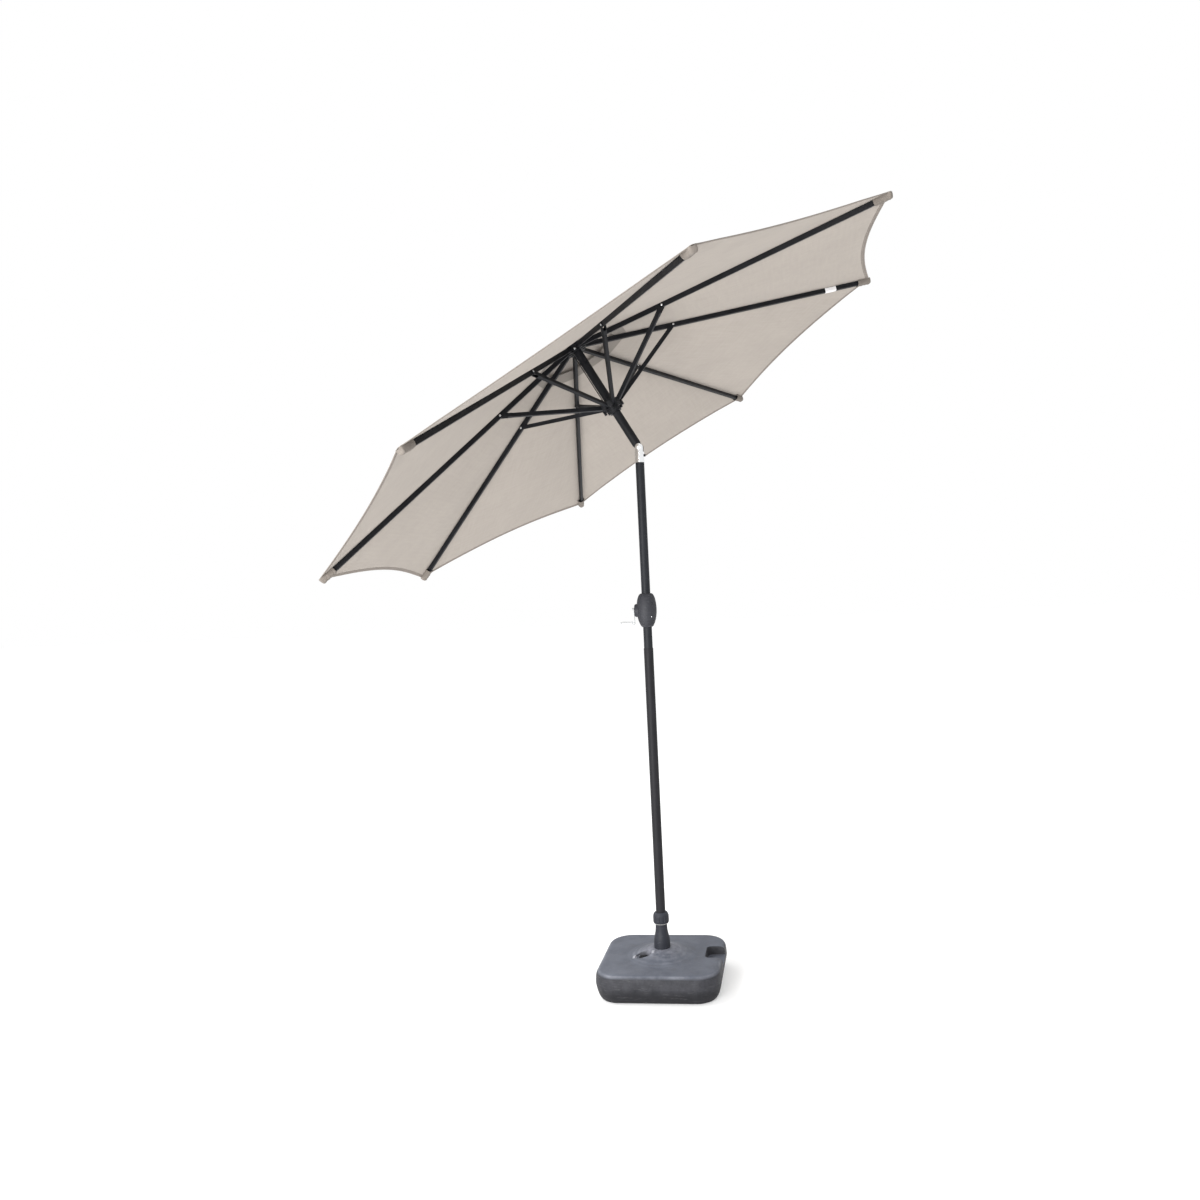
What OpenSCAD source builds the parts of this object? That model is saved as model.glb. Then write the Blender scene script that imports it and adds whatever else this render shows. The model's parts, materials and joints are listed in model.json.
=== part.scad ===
// Patio umbrella with a fillable base: crank lift, push-button tilt, eight ribs.
// Millimetres, +Z up. The origin is on the pole axis where the base meets the ground.
// The canopy stands open and leans towards -X.

/* [Canopy] */
// Distance from the pole axis to a rib tip
tip_r = 1300; // [1000:10:1500]
// Height of the rib hinges above the rib tips
rib_fall = 333; // [250:1:400]
// How far the hem curves in between two ribs, as a share of the radius
scallop = 0.04; // [0.02:0.01:0.1]
// How far the cloth sags between two ribs
cloth_sag = 14; // [4:1:24]
// Thickness of the cloth panels
cloth_t = 1.5; // [1:0.25:4]
// Radius of the wind vent
vent_r = 165; // [140:5:190]
// Radius of the vent cap over the wind vent
vent_cap_r = 225; // [205:5:280]
// Height of the vent cap above the canopy at its edge
vent_cap_rise = 14; // [8:1:20]

/* [Ribs and struts] */
// Height of a rib tube
rib_h = 18; // [14:1:20]
// Width of a rib tube
rib_w = 12; // [10:0.5:13]
// Distance along a rib from its hinge to its strut
strut_at = 390; // [320:5:460]
// Height of a strut tube
strut_h = 16; // [12:1:18]
// Wall of the rib and strut tubes
rib_wall = 0.8; // [0.7:0.1:2]

/* [Tilt] */
// Angle that the canopy leans from upright
tilt_deg = 30; // [0:1:45]
// Height of the tilt pin above the ground
pivot_z = 2130; // [1900:10:2300]
// Distance from the tilt pin to the rib hinges
hub_up = 478; // [440:1:560]
// Distance from the rib hinges down to the strut hinges
runner_down = 270; // [230:1:300]

/* [Poles] */
// Outside diameter of the upper and middle poles
pole_d = 35; // [32:0.5:36]
// Outside diameter of the lower pole
lower_pole_d = 38; // [37.5:0.5:40]
// Wall of the poles
pole_wall = 1.5; // [1:0.1:2]
// Height of the joint between the lower and middle poles
pole_joint_z = 1332; // [1200:2:1380]
// Length of middle pole inside the lower pole
pole_overlap = 120; // [80:5:160]

/* [Crank] */
// Height of the crank shaft above the ground
crank_z = 1484; // [1460:2:1560]
// Half the width of the crank housing
housing_r = 40; // [38:1:46]
// Half the height of the crank housing
housing_half = 67; // [60:1:75]
// Distance from the crank shaft to the grip
crank_throw = 49; // [40:1:60]
// Length of the grip
grip_len = 42; // [35:1:60]

/* [Base] */
// Width of the tank
base_w = 490; // [420:10:560]
// Depth of the tank
base_d = 460; // [380:10:500]
// Height of the tank at its edge
base_h = 110; // [95:1:130]
// Rise of the crown round the neck
crown_rise = 29; // [20:1:40]
// Radius of the tank's corners
base_corner = 95; // [60:5:130]
// Wall of the tank
base_wall = 4; // [3:0.5:6]
// Height of the neck above the top of the crown
neck_h = 106; // [96:1:140]
// Outside diameter of the collar
collar_d = 63; // [60:1:70]

/* [Hidden] */
RIBS = 8;
STEP = 360 / RIBS;
HALF = STEP / 2;
ribs = [for (i = [1:RIBS]) i];

$fn = 64;
EPS = 0.01;       // makes a cut run past a face
RUN = 0.08;       // radial clearance of a running fit
FREE = 0.3;       // clearance between faces that slide past each other

BLACK = "#2b2b2e";
CHARCOAL = "#3f4044";
GREY = "#5d5f66";
SILVER = "#c9ccd0";
CLOTH = "#c0b6ac";
POCKET = "#96918a";
CORD = "#55524e";

// --- poles
pole_r = pole_d / 2;
pole_ri = pole_r - pole_wall;
lower_r = lower_pole_d / 2;

// --- hub, runner, ribs and struts, in the upper pole's own frame
hinge_pin_r = 2;
hinge_r = 34;                   // from the pole axis to a rib hinge
strut_hinge_r = 36;             // from the pole axis to a strut hinge
hub_r = 42;
hub_slot_w = rib_w + 2 * FREE;
hub_slot_from = hinge_r - rib_h / 2 - 1;
hub_below = 14;
hub_above = 12;
boss_r = 25;
boss_h = 40;
pulley_pin_r = 2;
runner_r = 46;
runner_sleeve_r = 25;
runner_below = 36;
runner_above = 22;
runner_flange_below = 13;
runner_flange_above = 9;
rib_deg = atan(rib_fall / (tip_r - hinge_r));
rib_len = (tip_r - hinge_r) / cos(rib_deg);
strut_x = hinge_r + strut_at * cos(rib_deg);
strut_z = -strut_at * sin(rib_deg);
strut_deg = atan((strut_z + runner_down) / (strut_x - strut_hinge_r));
strut_len = (strut_x - strut_hinge_r) / cos(strut_deg);
strut_w = rib_w + 2 * FREE;     // the strut's ears stand outside the rib
ear_t = 2;
fork_from = 30;                 // the strut's tube ends this far from the rib's centre line
joint_pin_r = 2.5;
joint_hole_r = 4.5;             // leaves room for the fold's rounding
joint_head_r = 6;
rib_cap_len = 8;

// --- canopy
cloth_gap = 1.6;                 // between a rib and the cloth over it
cloth_apex = hinge_r * tan(rib_deg) + (rib_h / 2 + cloth_gap) / cos(rib_deg);
tip_over = 6;                   // the cloth runs this far past a rib tip
vent_cap_top = boss_h + 10;
finial_r = 24;
finial_stem_r = 7;
gore_split = 0.5;               // half the slit between two neighbouring gores
GORE_ACROSS = 8;
GORE_ALONG = 9;
CAP_ALONG = 4;

// --- lift cord and its wheels
cord_r = 2;
cord_x = -9;
fall_x = -21;
cord_hole_r = 2.6;
pulley_x = (cord_x + fall_x) / 2;
pulley_up = 20;
pulley_turn_r = (cord_x - fall_x) / 2;
drum_r = 6;
winding_r = 8.2;
spool_flange_r = 11;
spool_half = 9.5;
spool_cord_x = -5;
spool_cord_y = winding_r + cord_r + 0.2;
crank_shaft_r = 4;

// --- tilt knuckle
knuckle_r = lower_r;
knuckle_down = 58;
spigot_len = 50;
knuckle_top_r = 17;             // the ears are rounded about the pin
upper_from = knuckle_top_r + 1;
tongue_w = 19.4;
tongue_r = 15;
ear_gap = tongue_w + 2 * FREE;
tilt_pin_r = 4;
button_down = 30;
button_r = 5;
button_travel = 3;
button_out = 5;
button_bore_from = 6;

// --- crank
boss_x = 47;                    // face of the crank boss
boss_wide_r = 26;
arm_from = boss_x + 3;
arm_t = 8;
screw_y = 26;
screw_z = 26;
screw_r = 2;
screw_head_r = 4;
screw_head_x = 22;
grip_pin_r = 2.5;
neck_gap = pole_r + 1.5;        // radius of the housing where it closes on the pole

// --- base
crown_top = base_h + crown_rise;
neck_top = crown_top + neck_h;
neck_r = lower_r + 4;
bell_r = 32;
well_r = 27;
crown_r = 150;
floor_z = 20;
wedge_r = lower_r + 2;
wedge_from = neck_top - 70;
wedge_flange_top = neck_top + 20;
collar_r = collar_d / 2;
collar_z = crown_top + 98;
collar_h = 43;
recess_w = 75;
recess_d = 123;
recess_y = 27;
recess_deep = 34;
filler_x = -70;
filler_y = -45;
filler_r = 17;
filler_floor = base_h + 2;
water_top = base_h - 14;

// ------------------------------------------------------------ helpers

// The frame of the upper pole: z = 0 at the tilt pin, +Z along the pole.
module leaning() { translate([0, 0, pivot_z]) rotate([0, -tilt_deg, 0]) children(); }

// The frame of rib i: z = 0 at the rib hinges, +X outwards along the rib's bearing.
module bearing(i) {
    leaning() translate([0, 0, hub_up]) rotate([0, 0, HALF + STEP * (i - 1)]) children();
}

module tube(r, ri, h) {
    difference() {
        cylinder(r = r, h = h);
        translate([0, 0, -EPS]) cylinder(r = ri, h = h + 2 * EPS);
    }
}

// A cylinder that lies along X, from x = a to x = b.
module along_x(r, a, b) { translate([a, 0, 0]) rotate([0, 90, 0]) cylinder(r = r, h = b - a); }

// A cylinder that lies along Y, centred.
module along_y(r, w) { rotate([90, 0, 0]) cylinder(r = r, h = w, center = true); }

// A straight round rod from point a to point b.
module rod(a, b, r) {
    d = b - a;
    n = norm(d);
    translate(a) rotate([0, acos(d[2] / n), atan2(d[1], d[0])]) cylinder(r = r, h = n, $fn = 24);
}

// ------------------------------------------------------------ base

module plate(inset, z, t) {
    r = base_corner - inset;
    w = base_w / 2 - inset - r;
    d = base_d / 2 - inset - r;
    for (x = [-w, w], y = [-d, d]) translate([x, y, z]) cylinder(r = r, h = t, $fn = 32);
}

// The blow-moulded outline, drawn in by t on every side.
module tank_outline(t) {
    hull() {
        plate(22 + t, t, 1);
        plate(9 + t, 22, 1);
        plate(t, 60, 1);
        plate(3 + t, base_h - 16, 1);
        plate(8 + t, base_h - 5 - t, 1);
        plate(18 + t, base_h - 1 - t, 1);
    }
}

// The crown round the neck: a raised cosine in section.
function crown_z(r) = crown_rise * (1 + cos(180 * (r - bell_r) / (crown_r - bell_r))) / 2;
module crown(t) {
    steps = 12;
    curve = [for (k = [0:steps]) let (r = bell_r + (crown_r - bell_r) * k / steps) [r, base_h + crown_z(r)]];
    translate([0, 0, -t]) rotate_extrude()
        polygon(concat([[0, base_h - 20], [0, crown_top]], curve, [[crown_r, base_h - 20]]));
}

// The grip cut into the right-hand edge, grown by g into the plastic round it.
module hand_recess(g) {
    translate([base_w / 2 - recess_w - g, recess_y - recess_d / 2 - g, base_h - recess_deep - g])
        cube([recess_w + 40, recess_d + 2 * g, recess_deep + 20]);
}

// The long pocket that the filler cap sits in, grown by g.
module filler_recess(g) {
    for (x = [-12, 12]) translate([filler_x + x, filler_y, filler_floor - g])
        cylinder(r = filler_r + 6 + g, h = 60);
}

module tank_cavity(t) {
    difference() {
        union() {
            tank_outline(t);
            crown(t);
        }
        cylinder(r = well_r + t, h = crown_top + 1);
        hand_recess(t);
        filler_recess(t);
    }
}

module base_tank() {
    color(GREY) difference() {
        union() {
            tank_outline(0);
            crown(0);
        }
        tank_cavity(base_wall);
        translate([0, 0, floor_z - 8]) cylinder(r = well_r, h = crown_top);
        hand_recess(0);
        filler_recess(0);
        translate([filler_x, filler_y, filler_floor - 20]) cylinder(r = filler_r - 4, h = 40);
    }
}

// The ballast water, filled to just under the roof of the tank.
module water_fill() {
    color("#8fa9b5") intersection() {
        tank_cavity(base_wall + FREE);
        translate([-base_w, -base_d, 0]) cube([2 * base_w, 2 * base_d, water_top]);
    }
}

module filler_cap() {
    color(CHARCOAL) translate([filler_x, filler_y, filler_floor]) {
        difference() {
            cylinder(r = filler_r, h = 5);
            for (a = [0:30:330]) rotate([0, 0, a]) translate([filler_r + 0.4, 0, -EPS])
                cylinder(r = 1.4, h = 6, $fn = 16);
        }
        translate([0, 0, -9]) cylinder(r = filler_r - 4 - RUN, h = 9);
        translate([-filler_r + 4, -2.5, 5]) cube([2 * filler_r - 8, 5, 6]);
    }
}

// Neck and inner sleeve: a bell that spreads on the crown, with a bore for the pole.
module base_socket() {
    color(CHARCOAL) difference() {
        union() {
            translate([0, 0, floor_z - 8]) cylinder(r = well_r, h = crown_top - floor_z + 8);
            translate([0, 0, crown_top]) rotate_extrude() polygon([
                [0, 0], [bell_r, 0], [bell_r, 24], [bell_r - 0.7, 34], [bell_r - 2.5, 44], [bell_r - 5, 54],
                [neck_r + 2, 64], [neck_r + 0.8, 76], [neck_r, 90], [neck_r, neck_h], [0, neck_h]]);
        }
        translate([0, 0, floor_z]) cylinder(r = lower_r + 0.6, h = neck_top);
        translate([0, 0, wedge_from]) cylinder(r = wedge_r + RUN, h = neck_top);
    }
}

module collar_gasket() {
    color(SILVER) translate([0, 0, collar_z - 1.5]) tube(neck_r + 5, neck_r, 1.5);
}

// The split sleeve that grips the pole when the collar is tightened.
module collar_wedge() {
    color(CHARCOAL) difference() {
        union() {
            translate([0, 0, wedge_from]) cylinder(r = wedge_r, h = neck_top - wedge_from);
            translate([0, 0, neck_top]) cylinder(r1 = neck_r, r2 = wedge_r, h = wedge_flange_top - neck_top);
        }
        translate([0, 0, wedge_from - EPS]) cylinder(r = lower_r + RUN, h = 200);
        for (a = [0:90:270]) rotate([0, 0, a]) translate([lower_r - 2, -1, wedge_from + 18])
            cube([10, 2, 100]);
    }
}

module socket_collar() {
    lobes = 12;
    edge = 7;
    color(CHARCOAL) translate([0, 0, collar_z]) difference() {
        rotate_extrude() polygon([
            [neck_r + RUN, 0], [collar_r - 4, 0], [collar_r - 1, 2], [collar_r, edge],
            [collar_r, collar_h - edge - 8], [collar_r - 1.2, collar_h - edge - 3],
            [collar_r - 4, collar_h - 4], [collar_r - 8, collar_h - 1], [lower_r + 4, collar_h],
            [lower_r + RUN + 0.4, collar_h], [lower_r + RUN + 0.4, collar_h - 9],
            [neck_r + RUN, collar_h - 12]]);
        for (k = [1:lobes]) rotate([0, 0, k * 360 / lobes]) translate([collar_r + 3.4, 0, -EPS])
            cylinder(r = 5, h = collar_h - 12, $fn = 24);
    }
}

// ------------------------------------------------------------ poles

module lower_pole() {
    color("#48494c") translate([0, 0, floor_z]) {
        difference() {
            cylinder(r = lower_r, h = pole_joint_z - floor_z);
            translate([0, 0, pole_wall]) cylinder(r = pole_r, h = pole_joint_z);
        }
    }
}

module mid_pole() {
    from = pole_joint_z - pole_overlap;
    color(CHARCOAL) difference() {
        translate([0, 0, from]) tube(pole_r, pole_ri, pivot_z - knuckle_down - from);
        translate([0, 0, crank_z]) {
            along_x(spool_flange_r + 1, -pole_r - 1, 0);
            along_x(crank_shaft_r + RUN, 0, pole_r + 1);
        }
    }
}

// ------------------------------------------------------------ crank

// Radius of the housing at height z from the crank shaft, for a belly of radius r.
function egg(z, r, half) =
    let (t = min(1, abs(z) / half), p = z > 0 ? 2.2 : 1.7)
    neck_gap + (r - neck_gap) * pow(1 - pow(t, p), 1 / p);
module housing_form(r, half) {
    steps = 24;
    side = [for (k = [0:steps]) let (z = -half * cos(180 * k / steps)) [egg(z, r, half), z]];
    rotate_extrude() polygon(concat([[0, -half]], side, [[0, half]]));
}

module housing_shell() {
    wall = 2.5;
    translate([0, 0, crank_z]) difference() {
        union() {
            difference() {
                union() {
                    housing_form(housing_r, housing_half);
                    along_x(boss_wide_r, -boss_x + 3, 0);
                    along_x(boss_wide_r - 2, -boss_x, 0);
                }
                housing_form(housing_r - wall, housing_half - wall);
                along_x(boss_wide_r - 4, -boss_x + wall, 0);
            }
            for (y = [-screw_y, screw_y], z = [-screw_z, screw_z]) intersection() {
                translate([0, y, z]) along_x(5.5, -32, 32);
                housing_form(housing_r - EPS, housing_half - EPS);
            }
            along_x(crank_shaft_r + 4, -boss_x, -boss_x + 8);
            along_x(crank_shaft_r + 4, 22, 38);
        }
        translate([0, 0, -housing_half - 1]) cylinder(r = pole_r, h = 2 * housing_half + 2);
        along_x(crank_shaft_r + RUN, -boss_x - 1, 34);
        for (z = [-56, -50, -44]) translate([0, 0, z]) difference() {
            cylinder(r = 60, h = 1.6);
            translate([0, 0, -EPS]) cylinder(r = egg(z, housing_r, housing_half) - 1, h = 2);
        }
        for (y = [-screw_y, screw_y], z = [-screw_z, screw_z]) translate([0, y, z]) {
            along_x(screw_r, -16, 40);
            along_x(screw_head_r, screw_head_x, 45);
        }
    }
}

module crank_housing_front() {
    color(CHARCOAL) intersection() {
        housing_shell();
        translate([-100, -100, crank_z - 100]) cube([100, 200, 200]);
    }
}

module crank_housing_back() {
    color(CHARCOAL) intersection() {
        housing_shell();
        translate([0, -100, crank_z - 100]) cube([100, 200, 200]);
    }
}

module housing_screws() {
    color(SILVER) for (y = [-screw_y, screw_y], z = [-screw_z, screw_z])
        translate([0, y, crank_z + z]) difference() {
            union() {
                along_x(screw_r, -15, screw_head_x);
                along_x(screw_head_r, screw_head_x, screw_head_x + 2);
            }
            translate([screw_head_x + 1, -3, -0.5]) cube([2, 6, 1]);
        }
}

// The shaft, its drum and the cord that is wound on it.
module cord_spool() {
    color(SILVER) translate([0, 0, crank_z]) {
        along_x(crank_shaft_r, -arm_from, 33);
        along_x(drum_r, -spool_half, spool_half);
        along_x(spool_flange_r, -spool_half, -spool_half + 2);
        along_x(spool_flange_r, spool_half - 2, spool_half);
        along_x(winding_r, -spool_half + 2, spool_half - 2);
    }
}

module crank_arm() {
    color(SILVER) translate([-arm_from - arm_t, 0, crank_z]) {
        along_x(11, 0, arm_t);
        translate([0, -6, -crank_throw]) cube([arm_t, 12, crank_throw]);
        translate([0, 0, -crank_throw]) {
            along_x(8, 0, arm_t);
            along_x(grip_pin_r, -grip_len - 4, 0);
            along_x(5, -grip_len - 7, -grip_len - 4);
        }
    }
}

module crank_grip() {
    end = -arm_from - arm_t - 1;
    color("#b9bbbd") translate([end, 0, crank_z - crank_throw]) rotate([0, -90, 0]) difference() {
        rotate_extrude() polygon([
            [0, 0], [5, 0], [5.6, 3], [4.6, 8], [5.2, grip_len * 0.5], [6.2, grip_len * 0.8],
            [5.8, grip_len - 1], [4.6, grip_len + 1], [0, grip_len + 1]]);
        translate([0, 0, -EPS]) cylinder(r = grip_pin_r + RUN, h = grip_len + 2);
    }
}

// ------------------------------------------------------------ tilt knuckle

module tilt_socket() {
    color(SILVER) translate([0, 0, pivot_z]) difference() {
        union() {
            translate([0, 0, -knuckle_down]) cylinder(r = knuckle_r, h = knuckle_down);
            intersection() {
                translate([0, 0, -knuckle_down]) cylinder(r = knuckle_r, h = 2 * knuckle_down);
                along_y(knuckle_top_r, 2 * knuckle_r);
            }
            translate([0, 0, -knuckle_down - spigot_len]) cylinder(r = pole_ri, h = spigot_len);
        }
        translate([-30, -ear_gap / 2, -tongue_r - 1]) cube([60, ear_gap, 60]);
        along_y(tilt_pin_r, 60);
        translate([cord_x, 0, -knuckle_down - spigot_len - 1]) cylinder(r = 4, h = 200);
        translate([0, 0, -button_down]) along_x(button_r + RUN, button_bore_from, 30);
    }
}

module tilt_pin() {
    color(SILVER) translate([0, 0, pivot_z]) {
        along_y(tilt_pin_r, 2 * knuckle_r);
        for (s = [-1, 1]) translate([0, s * (knuckle_r + 1), 0]) along_y(tilt_pin_r + 2.5, 2);
    }
}

module tilt_button() {
    color(BLACK) translate([0, 0, pivot_z - button_down]) difference() {
        along_x(button_r, button_bore_from + button_travel + 1, knuckle_r + button_out);
        along_x(3.2, 0, knuckle_r - 3);
    }
}

// A coil spring of n turns along +X: a polyhedron swept round a helix.
module coil_spring(r, wire, pitch, n) {
    sides = 8;
    turn = 16;
    rings = n * turn;
    function at(k, a) = let (t = 360 * k / turn, q = r + wire * cos(a))
        [pitch * k / turn + wire * sin(a), q * cos(t), q * sin(t)];
    points = [for (k = [0:rings], j = [0:sides - 1]) at(k, 360 * j / sides)];
    walls = [for (k = [0:rings - 1], j = [0:sides - 1]) let (a = k * sides, b = (j + 1) % sides)
        [a + j, a + b, a + b + sides, a + j + sides]];
    caps = [[for (j = [sides - 1:-1:0]) j], [for (j = [0:sides - 1]) rings * sides + j]];
    polyhedron(points = points, faces = concat(walls, caps));
}

module button_spring() {
    wire = 0.5;
    color(SILVER) translate([button_bore_from + wire, 0, pivot_z - button_down])
        coil_spring(2.2, wire, 1.7, 4);
}

module tilt_tongue() {
    color(BLACK) leaning() difference() {
        union() {
            translate([0, 0, upper_from]) cylinder(r = pole_ri, h = 40);
            intersection() {
                union() {
                    translate([-tongue_r, -tongue_w / 2, 0]) cube([2 * tongue_r, tongue_w, upper_from]);
                    along_y(tongue_r, tongue_w);
                }
                translate([0, 0, -30]) cylinder(r = pole_ri, h = 80);
            }
        }
        along_y(tilt_pin_r + RUN, 60);
        translate([cord_x, 0, -30]) cylinder(r = 3, h = 120);
    }
}

// ------------------------------------------------------------ upper pole, hub and runner

module upper_pole() {
    color(BLACK) leaning() translate([0, 0, upper_from]) tube(pole_r, pole_ri, hub_up + 8 - upper_from);
}

module hub_slots(from, w, z0, z1) {
    for (i = ribs) rotate([0, 0, HALF + STEP * (i - 1)])
        translate([from, -w / 2, z0]) cube([60, w, z1 - z0]);
}

// One hinge pin across each slot of a hub or runner of radius r.
module slot_pins(at, r) {
    intersection() {
        for (i = ribs) rotate([0, 0, HALF + STEP * (i - 1)])
            translate([at, 0, 0]) along_y(hinge_pin_r, hub_slot_w + 8);
        cylinder(r = r, h = 20, center = true);
    }
}

module top_hub() {
    color(BLACK) leaning() translate([0, 0, hub_up]) {
        difference() {
            union() {
                translate([0, 0, -hub_below]) cylinder(r = hub_r, h = hub_below + hub_above);
                cylinder(r = boss_r, h = boss_h);
            }
            translate([0, 0, -hub_below - 1]) cylinder(r = pole_r, h = hub_below + 9);
            hub_slots(hub_slot_from, hub_slot_w, -hub_below - 1, hub_above + 1);
            translate([fall_x, 0, -hub_below - 1]) cylinder(r = cord_hole_r, h = hub_below + 20);
            translate([pulley_x - 10, -4.5, 7]) cube([20, 9, 27]);
            translate([pulley_x, 0, pulley_up]) along_y(pulley_pin_r, 18);
        }
        slot_pins(hinge_r, hub_r);
    }
}

module finial() {
    color(CHARCOAL) leaning() translate([0, 0, hub_up]) {
        translate([0, 0, boss_h]) cylinder(r = finial_stem_r, h = vent_cap_top - boss_h + 4);
        translate([0, 0, vent_cap_top + cloth_t]) rotate_extrude() polygon([
            [0, 0], [finial_r, 0], [finial_r, 3], [finial_r - 4, 7], [14, 10], [6, 11.5], [0, 12]]);
    }
}

module top_pulley() {
    color(SILVER) leaning() translate([pulley_x, 0, hub_up + pulley_up]) rotate([90, 0, 0]) difference() {
        union() {
            cylinder(r = pulley_turn_r + 1, h = 7, center = true);
            cylinder(r = pulley_pin_r - RUN, h = 16, center = true);
        }
        rotate_extrude() translate([pulley_turn_r, 0]) circle(r = cord_r + 0.25, $fn = 48);
    }
}

module runner() {
    color(BLACK) leaning() translate([0, 0, hub_up - runner_down]) {
        difference() {
            union() {
                translate([0, 0, -runner_below])
                    cylinder(r = runner_sleeve_r, h = runner_below + runner_above);
                translate([0, 0, -runner_flange_below])
                    cylinder(r = runner_r, h = runner_flange_below + runner_flange_above);
                for (i = ribs) rotate([0, 0, STEP * i])
                    translate([runner_r - 6, 0, -runner_flange_below - 12]) cylinder(r = 5.5, h = 14);
            }
            translate([0, 0, -runner_below - 1])
                cylinder(r = pole_r + FREE, h = runner_below + runner_above + 2);
            hub_slots(strut_hinge_r - strut_h / 2 - 2, strut_w + 2 * FREE, -runner_flange_below - 1,
                runner_flange_above + 1);
            translate([fall_x, 0, -runner_flange_below]) cylinder(r = cord_r, h = 60);
        }
        slot_pins(strut_hinge_r, runner_r);
    }
}

// ------------------------------------------------------------ lift cord

module lift_cord_lower() {
    color(CORD) rod([spool_cord_x, spool_cord_y, crank_z], [cord_x, 0, pivot_z - tongue_r - 3], cord_r);
}

module lift_cord_upper() {
    color(CORD) leaning() {
        rod([cord_x, 0, 6], [cord_x, 0, hub_up + pulley_up], cord_r);
        translate([pulley_x, 0, hub_up + pulley_up]) rotate([90, 0, 0])
            rotate_extrude(angle = 180) translate([pulley_turn_r, 0]) circle(r = cord_r, $fn = 24);
    }
}

module lift_cord_fall() {
    color(CORD) leaning()
        rod([fall_x, 0, hub_up - runner_down - runner_flange_below + 2], [fall_x, 0, hub_up + pulley_up], cord_r);
}

// ------------------------------------------------------------ ribs and struts

module rib(i) {
    inner_end = 26;             // solid end round the hinge
    color(BLACK) bearing(i) translate([hinge_r, 0, 0]) rotate([0, rib_deg, 0]) difference() {
        union() {
            along_y(rib_h / 2, rib_w);
            translate([0, -rib_w / 2, -rib_h / 2]) cube([rib_len - rib_cap_len, rib_w, rib_h]);
        }
        translate([inner_end, -rib_w / 2 + rib_wall, -rib_h / 2 + rib_wall])
            cube([rib_len, rib_w - 2 * rib_wall, rib_h - 2 * rib_wall]);
        along_y(hinge_pin_r + RUN, 40);
        translate([strut_at, 0, 0]) along_y(joint_hole_r, 40);
    }
}

// The plastic end of a rib, which the cloth's pocket slips over.
module rib_tip(i) {
    plug = 22;
    color(CHARCOAL) bearing(i) translate([hinge_r, 0, 0]) rotate([0, rib_deg, 0])
        translate([rib_len - rib_cap_len, 0, 0]) {
            translate([-plug, -rib_w / 2 + rib_wall, -rib_h / 2 + rib_wall])
                cube([plug, rib_w - 2 * rib_wall, rib_h - 2 * rib_wall]);
            translate([0, -rib_w / 2, -rib_h / 2]) cube([rib_cap_len - 4, rib_w, rib_h]);
            translate([rib_cap_len - 4, -rib_w / 2 + 2, -rib_h / 2 + 2]) cube([4, rib_w - 4, rib_h - 4]);
        }
}

module strut(i) {
    inner_end = 20;
    color(BLACK) bearing(i) translate([strut_hinge_r, 0, -runner_down]) rotate([0, -strut_deg, 0]) {
        difference() {
            union() {
                along_y(strut_h / 2, strut_w);
                translate([0, -strut_w / 2, -strut_h / 2]) cube([strut_len - fork_from, strut_w, strut_h]);
            }
            translate([inner_end, -strut_w / 2 + rib_wall, -strut_h / 2 + rib_wall])
                cube([strut_len, strut_w - 2 * rib_wall, strut_h - 2 * rib_wall]);
            along_y(hinge_pin_r + RUN, 40);
        }
        for (s = [-1, 1]) translate([0, s * (strut_w + ear_t) / 2, 0]) {
            translate([strut_len - fork_from - 18, -ear_t / 2, -strut_h / 2])
                cube([fork_from + 18, ear_t, strut_h]);
            translate([strut_len, 0, 0]) along_y(strut_h / 2, ear_t);
        }
        translate([strut_len, 0, 0]) {
            along_y(joint_pin_r, strut_w + 2 * ear_t);
            for (s = [-1, 1]) translate([0, s * (strut_w / 2 + ear_t + 1), 0]) along_y(joint_head_r, 2);
        }
    }
}

// ------------------------------------------------------------ canopy

// How far the bearing a is from its rib, from 0 over the rib to 1 midway to the next.
function between(a) = abs(a) / HALF;
function bow(a) = 1 - pow(1 - between(a), 2);
// Radius at bearing a of a straight level line that meets the rib at radius r.
function chord_r(r, a) = r * cos(HALF) / cos(HALF - abs(a));

// A point of the main cloth: s runs from 0 at the vent to 1 at the hem.
function cloth_point(s, a, up) =
    let (hem = (tip_r + tip_over) * (1 - scallop * bow(a)), r = vent_r + (hem - vent_r) * s,
         sag = cloth_sag * sin(180 * s) * bow(a))
    [chord_r(r, a) * cos(a), chord_r(r, a) * sin(a), cloth_apex - r * tan(rib_deg) - sag + up];

// A point of the vent cap: s runs from 0 at the finial to 1 at the cap's hem.
function cap_point(s, a, up) =
    let (edge = cloth_apex - vent_cap_r * tan(rib_deg) + vent_cap_rise,
         from = finial_stem_r + 1, r = from + (vent_cap_r * (1 - scallop * bow(a) / 2) - from) * s)
    [chord_r(r, a) * cos(a), chord_r(r, a) * sin(a),
     vent_cap_top + (edge - vent_cap_top) * r / vent_cap_r + up];

function slit(r) = HALF - asin(min(1, gore_split / r));

// A closed sheet between an under and an upper grid of points, (na + 1) x (ns + 1) each.
module sheet(under, upper, na, ns) {
    row = na + 1;
    n = row * (ns + 1);
    low = [for (s = [0:ns - 1], a = [0:na - 1]) let (k = s * row + a) [k, k + 1, k + row + 1, k + row]];
    high = [for (f = low) [for (k = [3:-1:0]) f[k] + n]];
    inner = [for (a = [0:na - 1]) [a, a + n, a + n + 1, a + 1]];
    outer = [for (a = [0:na - 1]) let (k = ns * row + a) [k, k + 1, k + 1 + n, k + n]];
    first = [for (s = [0:ns - 1]) let (k = s * row) [k, k + row, k + row + n, k + n]];
    last = [for (s = [0:ns - 1]) let (k = s * row + na) [k, k + n, k + row + n, k + row]];
    polyhedron(points = concat(under, upper), faces = concat(low, high, inner, outer, first, last));
}

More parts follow.
